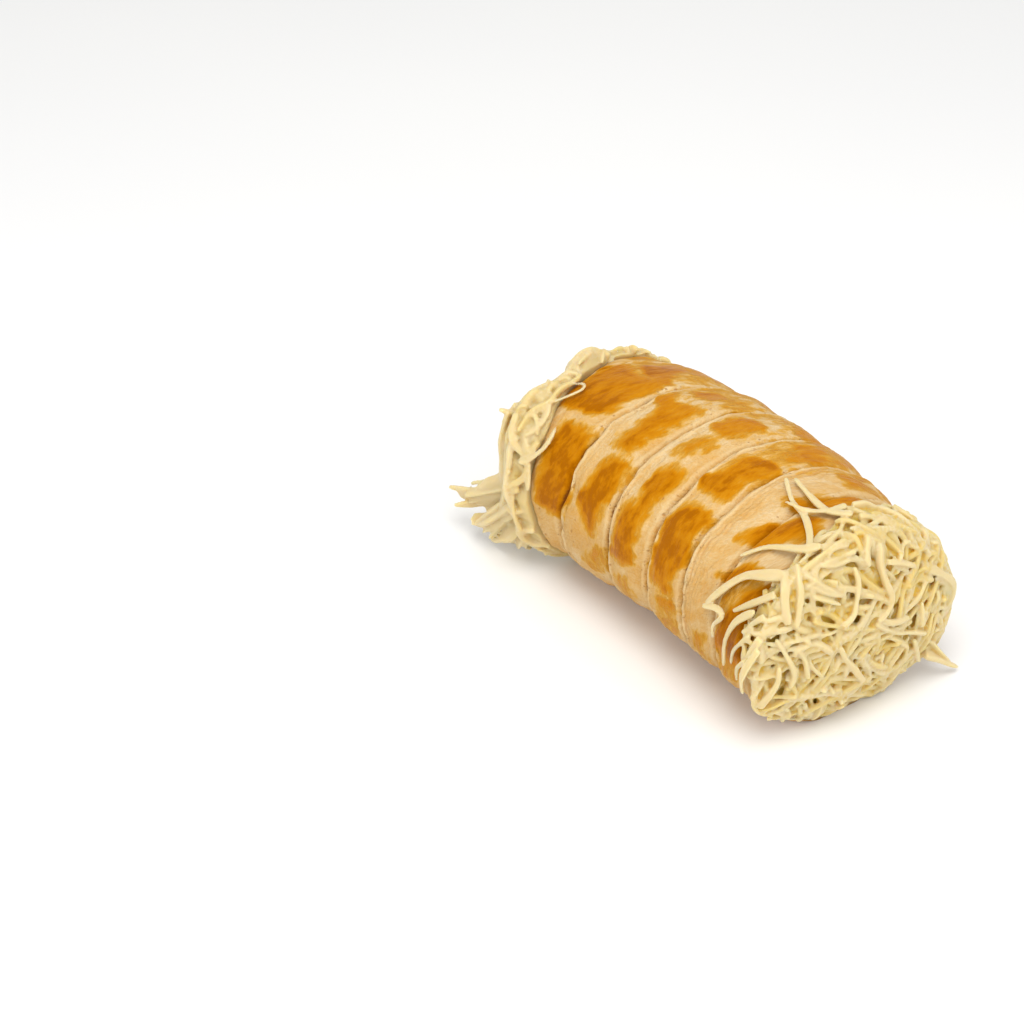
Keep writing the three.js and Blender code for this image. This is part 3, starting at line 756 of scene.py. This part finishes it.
class Bed:
    """How high the cheese of a heap already lies over each spot of its bed, on a fine map."""

    def __init__(self, heap):
        cells = int(2 * MAP_REACH / MAP_CELL)
        centres = (np.arange(cells) + 0.5) * MAP_CELL - MAP_REACH
        a, b = np.meshgrid(centres, centres, indexing="ij")
        self.height = packed_height(heap, np.arctan2(a, b), np.hypot(a, b))

    def cells(self, way):
        place = ((way + MAP_REACH) / MAP_CELL).astype(int)
        return np.clip(place, 2, self.height.shape[0] - 3)

    def spots(self, way):
        """The cells under a way, and those beside it."""
        place = self.cells(way)
        for da in (-1, 0, 1):
            for db in (-1, 0, 1):
                yield place[:, 0] + da, place[:, 1] + db

    def under(self, way):
        place = self.cells(way)
        return self.height[place[:, 0], place[:, 1]]

    def settle(self, way, radius):
        """Heights of the middle of a shred laid along a way on the map, resting on what is there."""
        rest = np.max([self.height[spot] for spot in self.spots(way)], axis=0) + 0.95 * radius
        lying = rest
        for _ in range(4):
            lying = np.maximum(smooth_rows(lying, 3), rest - 0.5 * radius)
        return smooth_rows(lying, 2)

    def fill(self, way, lying, radius):
        index = np.arange(len(way))
        dense = np.linspace(0, len(way) - 1, 3 * len(way))
        steps = np.stack([np.interp(dense, index, way[:, k]) for k in (0, 1)], -1)
        tops = np.interp(dense, index, lying) + 0.75 * radius
        for spot in self.spots(steps):
            np.maximum.at(self.height, spot, tops)


def polar(way):
    """The angle and the distance of each place of a way on the flat map of a bed."""
    return np.arctan2(way[:, 0], way[:, 1]), np.hypot(way[:, 0], way[:, 1])


def wandering_way(random, heading, length, samples):
    """A way on the flat, through its own middle, gently bent and now and then hooked at one end."""
    along = np.linspace(-0.5, 0.5, samples) * length
    heading = heading + random.normal(0, 0.045) * along
    heading = heading + random.normal(0, 0.22) * np.sin(along * random.uniform(0.3, 0.7))
    if random.uniform(0, 1) < 0.3:
        tip = random.uniform(0.1, 0.35)
        heading = heading + random.uniform(-2.2, 2.2) * smoothstep(along, length * tip, length * 0.5)
    step = length / (samples - 1)
    way = np.stack([np.cumsum(np.cos(heading)), np.cumsum(np.sin(heading))], -1) * step
    return way - way.mean(0)


def strew(heap, bunch):
    """Lays shreds one by one on a heap, each on those under it, up to the heap's depth."""
    random = np.random.default_rng(heap["seed"])
    bed = Bed(heap)
    laid = 0
    for _ in range(heap["count"] * TRIES):
        if laid == heap["count"]:
            break
        angle = random.uniform(-math.pi, math.pi)
        distance = float(hem_at(heap, np.array(angle))) * math.sqrt(random.uniform(0, 1))
        length = random.triangular(*SHRED_LENGTHS)
        radius = random.triangular(*heap["radius"])
        samples = int(np.clip(length / 1.1, 8, 26))
        spot = distance * np.array([math.sin(angle), math.cos(angle)])
        drift = 0.9 * float(waves(heap["seed"], spot[None, :], 26, 8)[0])
        heading = math.pi / 2 + drift + random.normal(0, heap["muddle"])
        way = wandering_way(random, heading, length, samples) + spot
        angles, distances = polar(way)
        if np.max(distances - hem_at(heap, angles)) > 1.5:
            continue
        lying = bed.settle(way, radius)
        tilt = random.normal(0, 0.05) * np.linspace(-0.5, 0.5, samples) * length
        dips = np.linspace(0, random.uniform(4, 12), samples)
        dive = 0.5 - 0.5 * np.cos(dips + random.uniform(0, TURN))
        lying = lying + tilt - abs(tilt[0]) - random.uniform(0, 1.5) * dive
        if np.max(lying - heap_depth(heap, angles, distances)) > 0.8:
            continue
        bed.fill(way, lying, radius)
        places = heap_points(heap, angles, distances, lying)
        places[:, 2] = np.maximum(places[:, 2], radius * 1.15)
        bunch.add(places, radius, sunk=heap_depth(heap, angles, distances) - lying)
        laid += 1
    fill_hollows(heap, bed, bunch)
    for radius, *turns in heap["shown"]:
        way = spline([(a, b, 0) for a, b in turns])[:, :2]
        angles, distances = polar(way)
        highest = heap_depth(heap, angles, distances) + 1.0
        lying = smooth_rows(np.minimum(bed.settle(way, radius), highest), 4)
        bed.fill(way, lying, radius)
        bunch.add(heap_points(heap, angles, distances, lying), radius, tint=FREE_TINT)


def fill_hollows(heap, bed, bunch):
    """Presses short shreds into the hollows that the strewn ones leave open."""
    random = np.random.default_rng(heap["seed"] + 1)
    pressed = 0
    for _ in range(heap["in_hollows"] * 12):
        if pressed == heap["in_hollows"]:
            break
        angle = random.uniform(-math.pi, math.pi)
        distance = FACE_RADIUS * math.sqrt(random.uniform(0, 1))
        length, radius = random.uniform(*SHORT_LENGTHS), random.uniform(*SHORT_RADII)
        spot = distance * np.array([math.sin(angle), math.cos(angle)])
        way = wandering_way(random, random.uniform(0, math.pi), length, 9) + spot
        angles, distances = polar(way)
        room = heap_depth(heap, angles, distances) - bed.under(way)
        if room[3:6].min() < HOLLOW_DEPTH:
            continue
        lying = smooth_rows(bed.under(way) + 0.5 * radius, 6)
        bed.fill(way, lying, radius)
        bunch.add(heap_points(heap, angles, distances, lying), radius, sunk=np.clip(room, 0, 2))
        pressed += 1


def pack_end(heap, bunch):
    """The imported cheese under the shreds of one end, closed at its back inside the tube."""
    angles = round_angles(CORE_COLUMNS)
    end = heap["end"]
    hem = hem_at(heap, angles)
    flat = [share * FACE_RADIUS + 0 * angles for share in np.linspace(0.02, 1.0, 24)]
    flat += [lerp(FACE_RADIUS, hem, share) for share in (0.25, 0.5, 0.75, 1.0)]
    distances, around = np.concatenate(flat), np.tile(angles, len(flat))
    height = packed_height(heap, around, distances)
    smooth = heap_points(heap, around, distances, height)
    height += 0.5 * waves(91 + end, smooth, 5) + 0.25 * waves(95 + end, smooth, 2.2)
    shown = heap_points(heap, around, distances, np.maximum(height, -0.5))
    rings = np.split(shown, len(flat))
    rings += [body_points(rim_at(end, angles) + end * out, angles, -WALL - GAP) for out in (GAP, -3)]
    points, faces = closed_rings(rings[::-end])
    # The packed cheese under the shreds takes a deeper tint: painted shade.
    bunch.add_shape(points, faces, heap["core_shade"])


def closed_rings(rings):
    """A closed skin over rings that run clockwise seen along the way."""
    columns = len(rings[0])
    column = np.arange(columns)
    after = (column + 1) % columns
    last = (len(rings) - 1) * columns
    points = np.concatenate([*rings, [rings[0].mean(0), rings[-1].mean(0)]])
    start = np.stack([after, column, np.full(columns, len(points) - 2)], -1)
    stop = np.stack([last + column, last + after, np.full(columns, len(points) - 1)], -1)
    return points, [ring_faces(len(rings), columns), start, stop]


def make_filling(material):
    """The cheese that runs through the tube, a little thinner than the bore."""
    angles = round_angles(FILLING_COLUMNS)
    far, near = rim_at(-1, angles), rim_at(1, angles)
    rings = [body_points(lerp(far + 1, near - 1, share), angles, -WALL - 0.5)
             for share in np.linspace(0, 1, 24)]
    points, faces = closed_rings(rings)
    points[:, 2] = np.maximum(points[:, 2], 0.4)
    made = mesh_object("cheese_filling", points, faces, material)
    # A deep tint for the cheese inside the tube: painted shade.
    point_values(made, "tint", np.full(len(points), FILLING_SHADE))
    return made


def at_end(heap, rows):
    """Those rows of a list of ways that belong to a heap's end."""
    return [row for row in rows if row[-1][0] * heap["end"] > 0]


def make_end(name, heap, material):
    """One end's cheese: what is packed in, and every shred that lies or hangs there."""
    bunch = Bunch(heap)
    pack_end(heap, bunch)
    strew(heap, bunch)
    for radius, *way in at_end(heap, DRAPED):
        places = [body_points(x, math.radians(degrees), height - SUNK_IN + GAP)
                  for x, degrees, height in way]
        middle = math.radians(way[len(way) // 2][1])
        outwards = np.array([0, -math.sin(middle), math.cos(middle)])
        side = np.cross(outwards, places[-1] - places[0])
        bunch.add(spline(places), radius, flat=0.55, growth=0.3, side=side, tint=FREE_TINT)
    for radius, *way in at_end(heap, LOOSE):
        bunch.add(spline(way), radius, flat=0.6, growth=-0.25, tint=FREE_TINT)
    for radius, side, *way in at_end(heap, MELTED):
        bunch.add(spline(way), radius, flat=0.24, growth=-0.5, side=side, tint=FREE_TINT)
    return bunch.fuse(name, heap["cell"], heap["softening"], material)


# ---- materials ----
class Nodes:
    """Short calls to build a material's node tree."""

    def __init__(self, name):
        self.material = bpy.data.materials.new(name)
        self.material.use_nodes = True
        self.tree = self.material.node_tree
        self.shader = self.tree.nodes["Principled BSDF"]

    def put(self, socket, value):
        if isinstance(value, bpy.types.NodeSocket):
            self.tree.links.new(value, socket)
        else:
            socket.default_value = value

    def node(self, kind, inputs, output=0, **settings):
        """An output of a new node. Its inputs are given by name or by number."""
        node = self.tree.nodes.new("ShaderNode" + kind)
        for name, setting in settings.items():
            setattr(node, name, setting)
        for name, value in inputs.items():
            self.put(node.inputs[name], value)
        return node.outputs[output]

    def surface(self, inputs):
        """The material, once the inputs of its shader are set."""
        for name, value in inputs.items():
            self.put(self.shader.inputs[name], value)
        return self.material

    def value(self, name, kind="Fac"):
        return self.node("Attribute", {}, kind, attribute_name=name)

    def place(self):
        return self.node("TexCoord", {}, "Object")

    def scaled(self, vector, scale):
        return self.node("VectorMath", {0: vector, 1: scale}, operation="MULTIPLY")

    def noise(self, vector, scale, detail=3.0, rough=0.55, warp=0.0):
        return self.node("TexNoise", {"Vector": vector, "Scale": scale, "Detail": detail,
                                      "Roughness": rough, "Distortion": warp}, "Fac")

    def cells(self, vector, scale):
        return self.node("TexVoronoi", {"Vector": vector, "Scale": scale}, "Distance")

    def math(self, kind, a, b):
        return self.node("Math", {0: a, 1: b}, operation=kind)

    def times(self, a, b):
        return self.math("MULTIPLY", a, b)

    def blend(self, *parts):
        """The sum of values, each given with its weight."""
        total = 0.0
        for weight, value in parts:
            total = self.node("Math", {0: value, 1: weight, 2: total}, operation="MULTIPLY_ADD")
        return total

    def ranged(self, value, low, high, to_low=0.0, to_high=1.0):
        """A smooth step from one number to another while a value goes from low to high."""
        return self.node("MapRange", {"Value": value, "From Min": low, "From Max": high,
                                      "To Min": to_low, "To Max": to_high}, "Result",
                         interpolation_type="SMOOTHSTEP")

    def ramp(self, value, *stops):
        """A colour from stops of (share, red, green, blue)."""
        node = self.tree.nodes.new("ShaderNodeValToRGB")
        elements = node.color_ramp.elements
        while len(elements) < len(stops):
            elements.new(1.0)
        for element, (share, *colour) in zip(elements, stops):
            element.position = share
            element.color = linear(*colour)
        self.put(node.inputs["Fac"], value)
        return node.outputs["Color"]

    def mix(self, share, a, b):
        return self.node("Mix", {"Factor": share, "A": a, "B": b}, "Result", data_type="RGBA")

    def bump(self, height, distance, strength):
        return self.node("Bump", {"Strength": strength, "Distance": distance, "Height": height},
                         "Normal")


def crust_material():
    """Egg-washed puff pastry: glossy amber patches, pale dry layered dough between them."""
    m = Nodes("baked_crust")
    strip = m.value("strip", "Vector")
    washed, lowness, seam = m.value("washed"), m.value("lowness"), m.value("seam")
    bake_and_shade, under, layers, ridge = m.value("bake_and_shade"), m.value("under"), m.value("layers"), m.value("ridge")

    streaks = m.ranged(m.noise(m.scaled(strip, (0.3, 1, 1)), 0.55, 5, 0.6), 0.3, 0.7)
    blotches = m.ranged(m.noise(strip, 0.2, 3, 0.5, 0.6), 0.3, 0.7)
    fine = m.ranged(m.noise(strip, 1.6, 4, 0.6), 0.3, 0.7)
    grainy = m.ranged(m.noise(strip, 2.6, 3, 0.6), 0.3, 0.7)
    brushed = m.noise(m.scaled(strip, (0.4, 1, 1)), 0.7, 5, 0.65)

    # Egg wash from none to thick: the patches fade at their edges, in strokes along the strip.
    # The bake value deepens the wash towards the lower side, partly as painted shade.
    depth = m.blend((0.24, streaks), (0.2, blotches), (0.2, lowness), (0.38, bake_and_shade))
    thick = m.times(washed, m.ranged(depth, 0.2, 0.8, 0.68, 1.02))
    patchy = m.times(m.ranged(washed, 0.02, 0.3), m.ranged(washed, 0.5, 1, 1, 0.75))
    thick = m.math("ADD", thick, m.times(patchy, m.ranged(brushed, 0.32, 0.68, -0.18, 0.18)))
    lost = m.times(m.ranged(ridge, 0.3, 1, 0, 0.3), m.ranged(washed, 0.3, 0.9, 1, 0.15))
    thick = m.math("SUBTRACT", thick, lost)
    glaze = m.ranged(thick, 0.2, 0.7)
    bare = m.ranged(glaze, 0, 1, 1, 0)
    wash = m.ramp(thick, (0.05, *DOUGH), (0.2, *GOLD), (0.38, *DEEP_GOLD), (0.58, *AMBER),
                  (0.84, *DEEP_AMBER), (1, *DARK_AMBER))

    # Dough, paler along the ridges and darker where its layers part: painted shade in the grooves
    # between the layers.
    # The bake value browns the dough towards the lower side, partly as painted shade.
    dough_tone = m.blend((0.22, fine), (0.16, grainy), (0.32, blotches), (0.3, bake_and_shade))
    dough = m.ramp(dough_tone, (0.15, *DOUGH_PALE), (0.5, *DOUGH), (0.85, *DOUGH_BAKED))
    dough = m.mix(m.ranged(ridge, 0.3, 1, 0, 0.7), dough, linear(*DOUGH_RIDGE))
    colour = m.mix(m.ranged(thick, 0.04, 0.3), dough, wash)
    parting = m.times(m.ranged(layers, 0.3, 0.9, 0, 0.7), bare)
    colour = m.mix(parting, colour, linear(*LAYER_SHADE))

    # Specks, and pores along the ridges.
    speck = m.ranged(m.cells(m.scaled(strip, (0.6, 1, 1)), 0.55), 0.05, 0.2, 1, 0)
    speck = m.times(speck, m.ranged(m.noise(strip, 0.35, 2), 0.45, 0.6))
    pores = m.ranged(m.cells(m.scaled(strip, (0.7, 1, 1)), 1.1), 0.08, 0.26, 1, 0)
    pores = m.times(pores, m.ranged(ridge, 0.15, 0.6))
    pores = m.times(pores, m.ranged(m.noise(strip, 0.5, 2), 0.45, 0.56))
    speck = m.times(m.math("MAXIMUM", speck, pores), bare)
    colour = m.mix(m.times(speck, 0.7), colour, linear(*PIT_SHADE))

    # Shade in the seams, and the brown underside.
    ragged = m.times(m.math("SUBTRACT", m.noise(strip, 1.1, 3, 0.6), 0.5), 0.9)
    broken = m.math("ADD", seam, ragged)
    colour = m.mix(m.ranged(broken, 0.5, 0.95, 0, 0.9), colour, linear(*SEAM_SHADE))
    tray = m.ramp(m.noise(m.place(), 160, 4, 0.6), (0.3, *TRAY_PALE), (0.7, *TRAY_BROWN))
    colour = m.mix(m.times(under, 0.8), colour, tray)

    roughness = m.ranged(glaze, 0, 1, 0.62, 0.34)
    strata = m.noise(m.scaled(strip, (0.2, 1, 1)), 1.7, 4, 0.65)
    height = m.blend((0.9, strata), (0.2, fine), (0.05, grainy), (-0.5, speck))
    height = m.times(height, m.ranged(glaze, 0, 1, 1, 0.25))
    height = m.math("ADD", height, m.times(streaks, 0.06))
    return m.surface({
        "Base Color": colour,
        "Roughness": m.math("ADD", roughness, m.ranged(streaks, 0, 1, -0.06, 0.06)),
        "Specular IOR Level": 0.12,
        "Specular Tint": m.mix(glaze, linear(*DRY_SHEEN), linear(*WASHED_SHEEN)),
        "Subsurface Weight": 0.06,
        "Subsurface Radius": (1, 0.6, 0.3),
        "Subsurface Scale": 1.2 * MM,
        "Normal": m.bump(height, 0.5 * MM, 0.9),
    })


def cheese_material():
    """Grated mild cheese: pale yellow, soft and a little see-through, with a faint moist sheen."""
    m = Nodes("grated_cheese")
    place = m.place()
    mottle = m.noise(place, 260, 3, 0.5)
    # The tint runs towards the deepest colour with depth and in hollows: painted shade.
    tone = m.blend((0.8, m.value("tint")), (0.2, mottle))
    return m.surface({
        "Base Color": m.ramp(tone, (0.1, *CHEESE_PALE), (0.4, *CHEESE), (0.85, *CHEESE_DEEP_AND_SHADE)),
        "Roughness": m.ranged(mottle, 0.3, 0.7, 0.36, 0.5),
        "Specular IOR Level": 0.35,
        "Subsurface Weight": 0.9,
        "Subsurface Radius": (1, 0.8, 0.5),
        "Subsurface Scale": 3 * MM,
        "Normal": m.bump(m.noise(place, 1400, 3, 0.6), 0.18 * MM, 0.5),
    })


def floor_material():
    m = Nodes("pale_floor")
    colour = m.ramp(m.noise(m.place(), 3.0, 2.0), (0.3, *FLOOR_DARK), (0.7, *FLOOR_LIGHT))
    return m.surface({"Base Color": colour, "Roughness": 0.8, "Specular IOR Level": 0.1})


# ---- the set: floor, light and camera ----
def make_floor():
    corners = FLOOR_REACH * np.array([(-1, -1, 0), (1, -1, 0), (1, 1, 0), (-1, 1, 0)])
    floor = mesh_object("floor", corners, [np.array([[0, 1, 2, 3]])], floor_material())


def way_back(azimuth, elevation):
    """The direction from the roll to a camera or a lamp."""
    level = math.cos(elevation)
    return np.array([math.sin(azimuth) * level, -math.cos(azimuth) * level, math.sin(elevation)])


def facing(place, azimuth, elevation):
    """A matrix at a place, whose -Z looks along the view from an azimuth and elevation."""
    back = Vector(way_back(azimuth, elevation))
    right = Vector((0, 0, 1)).cross(back).normalized()
    up = back.cross(right)
    turned = Matrix((right, up, back)).transposed().to_4x4()
    return Matrix.Translation(Vector(place) * MM) @ turned


def make_camera():
    data = bpy.data.cameras.new("view")
    data.sensor_width = SENSOR
    data.lens = SENSOR * FOCAL_PIXELS / FRAME_PIXELS
    data.clip_start, data.clip_end = 0.01, 20
    camera = in_scene("view", data)
    camera.matrix_world = facing(CAMERA_PLACE, CAMERA_AZIMUTH, CAMERA_ELEVATION)
    bpy.context.scene.camera = camera


def make_lamp(name, azimuth, elevation, size, power, colour):
    azimuth, elevation = math.radians(azimuth), math.radians(elevation)
    data = bpy.data.lights.new(name, "AREA")
    data.shape = "DISK"
    data.size = size * MM
    data.energy = power
    data.color = colour
    place = way_back(azimuth, elevation) * LAMP_DISTANCE + LAMP_AIM
    in_scene(name, data).matrix_world = facing(place, azimuth, elevation)


def make_light():
    world = bpy.data.worlds.new("studio")
    world.use_nodes = True
    background = world.node_tree.nodes["Background"]
    background.inputs["Color"].default_value = (1, 1, 1, 1)
    background.inputs["Strength"].default_value = WORLD_LIGHT
    bpy.context.scene.world = world
    for lamp in LAMPS:
        make_lamp(*lamp)
    bpy.context.scene.view_settings.view_transform = "Standard"


def main():
    make_camera()
    make_light()
    make_floor()
    cheese = cheese_material()
    crust = make_crust(crust_material())
    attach(crust, "root")
    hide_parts("pastry")
    ends = [make_end("cheese_near", NEAR_HEAP, cheese), make_end("cheese_far", FAR_HEAP, cheese)]
    for piece in [make_filling(cheese), *ends]:
        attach(piece, "root")
        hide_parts("cheese")


main()
